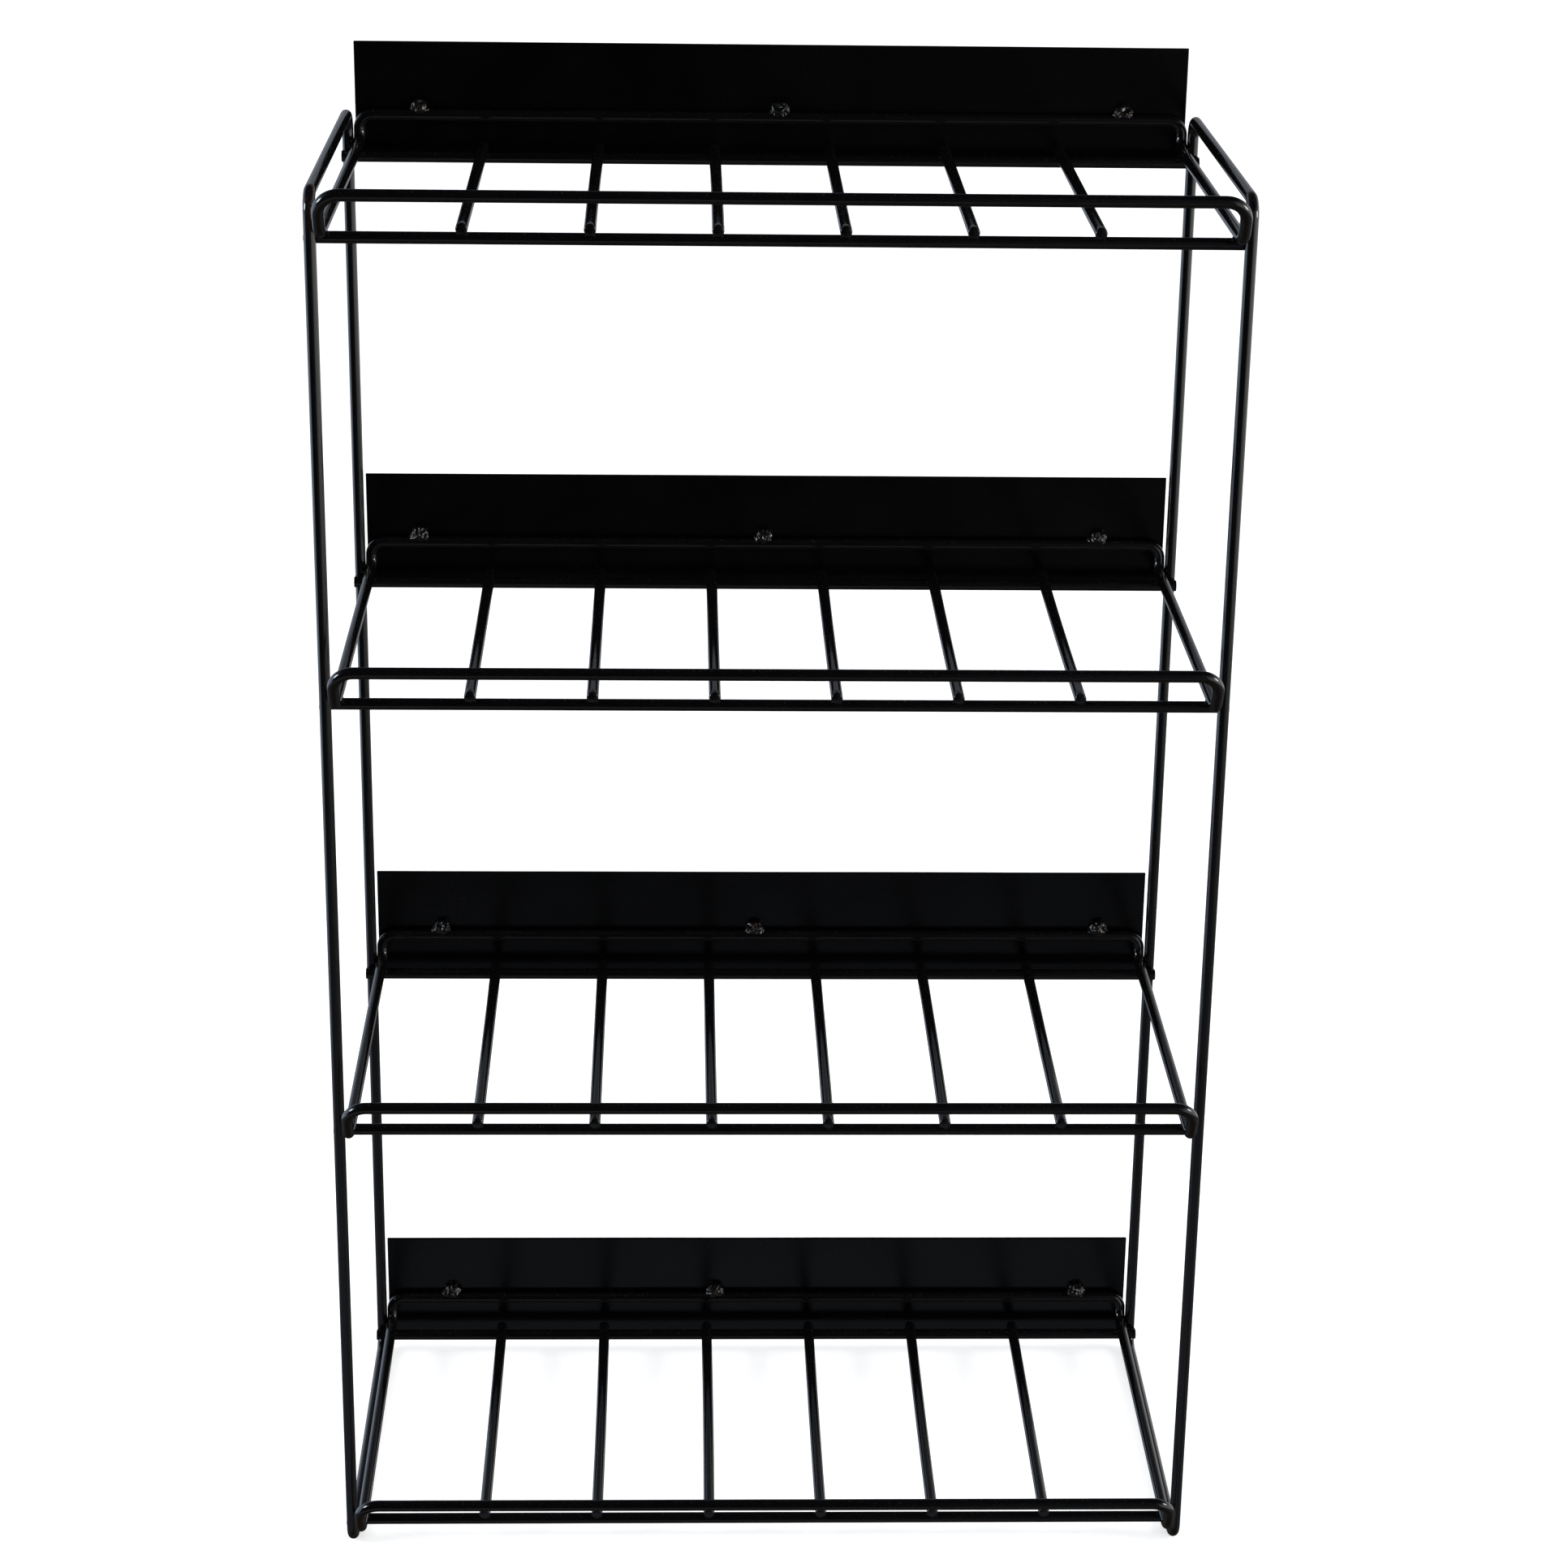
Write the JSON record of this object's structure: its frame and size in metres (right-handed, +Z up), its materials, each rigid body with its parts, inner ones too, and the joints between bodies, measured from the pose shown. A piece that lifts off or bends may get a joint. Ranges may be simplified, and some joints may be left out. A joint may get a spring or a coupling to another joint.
{
  "type": "spice rack",
  "caption": "Free-standing tiered wire rack for spice jars, in black enamelled wire, with a low gallery rail in front of each open shelf and a sheet metal strip behind it.",
  "frame": {"origin": "on the surface that the rack stands on, at the centre of its footprint", "axes": "+X right seen from the front, +Y towards the back plates, +Z up"},
  "size_m": [0.3046, 0.165, 0.52],
  "materials": {
    "wire_enamel": "semi-gloss black enamel over steel wire",
    "plate_enamel": "gloss black enamel over sheet steel",
    "weld_enamel": "gloss black enamel, pooled over weld metal"
  },
  "bodies": {
    "root": {"left_side_frame": "wire_enamel", "right_side_frame": "wire_enamel", "bottom_shelf_tray_loop": "wire_enamel", "bottom_shelf_front_cross_rail": "wire_enamel", "bottom_shelf_rear_cross_rail": "wire_enamel", "bottom_shelf_back_plate": "plate_enamel", "bottom_shelf_plate_welds": "weld_enamel", "bottom_shelf_frame_welds": "weld_enamel", "bottom_shelf_cross_wire_1": "wire_enamel", "bottom_shelf_cross_wire_2": "wire_enamel", "bottom_shelf_cross_wire_3": "wire_enamel", "bottom_shelf_cross_wire_4": "wire_enamel", "bottom_shelf_cross_wire_5": "wire_enamel", "bottom_shelf_cross_wire_6": "wire_enamel", "lower_shelf_tray_loop": "wire_enamel", "lower_shelf_front_cross_rail": "wire_enamel", "lower_shelf_rear_cross_rail": "wire_enamel", "lower_shelf_back_plate": "plate_enamel", "lower_shelf_plate_welds": "weld_enamel", "lower_shelf_frame_welds": "weld_enamel", "lower_shelf_cross_wire_1": "wire_enamel", "lower_shelf_cross_wire_2": "wire_enamel", "lower_shelf_cross_wire_3": "wire_enamel", "lower_shelf_cross_wire_4": "wire_enamel", "lower_shelf_cross_wire_5": "wire_enamel", "lower_shelf_cross_wire_6": "wire_enamel", "upper_shelf_tray_loop": "wire_enamel", "upper_shelf_front_cross_rail": "wire_enamel", "upper_shelf_rear_cross_rail": "wire_enamel", "upper_shelf_back_plate": "plate_enamel", "upper_shelf_plate_welds": "weld_enamel", "upper_shelf_frame_welds": "weld_enamel", "upper_shelf_cross_wire_1": "wire_enamel", "upper_shelf_cross_wire_2": "wire_enamel", "upper_shelf_cross_wire_3": "wire_enamel", "upper_shelf_cross_wire_4": "wire_enamel", "upper_shelf_cross_wire_5": "wire_enamel", "upper_shelf_cross_wire_6": "wire_enamel", "top_shelf_tray_loop": "wire_enamel", "top_shelf_front_cross_rail": "wire_enamel", "top_shelf_rear_cross_rail": "wire_enamel", "top_shelf_back_plate": "plate_enamel", "top_shelf_plate_welds": "weld_enamel", "top_shelf_frame_welds": "weld_enamel", "top_shelf_cross_wire_1": "wire_enamel", "top_shelf_cross_wire_2": "wire_enamel", "top_shelf_cross_wire_3": "wire_enamel", "top_shelf_cross_wire_4": "wire_enamel", "top_shelf_cross_wire_5": "wire_enamel", "top_shelf_cross_wire_6": "wire_enamel"}
  },
  "joints": []
}
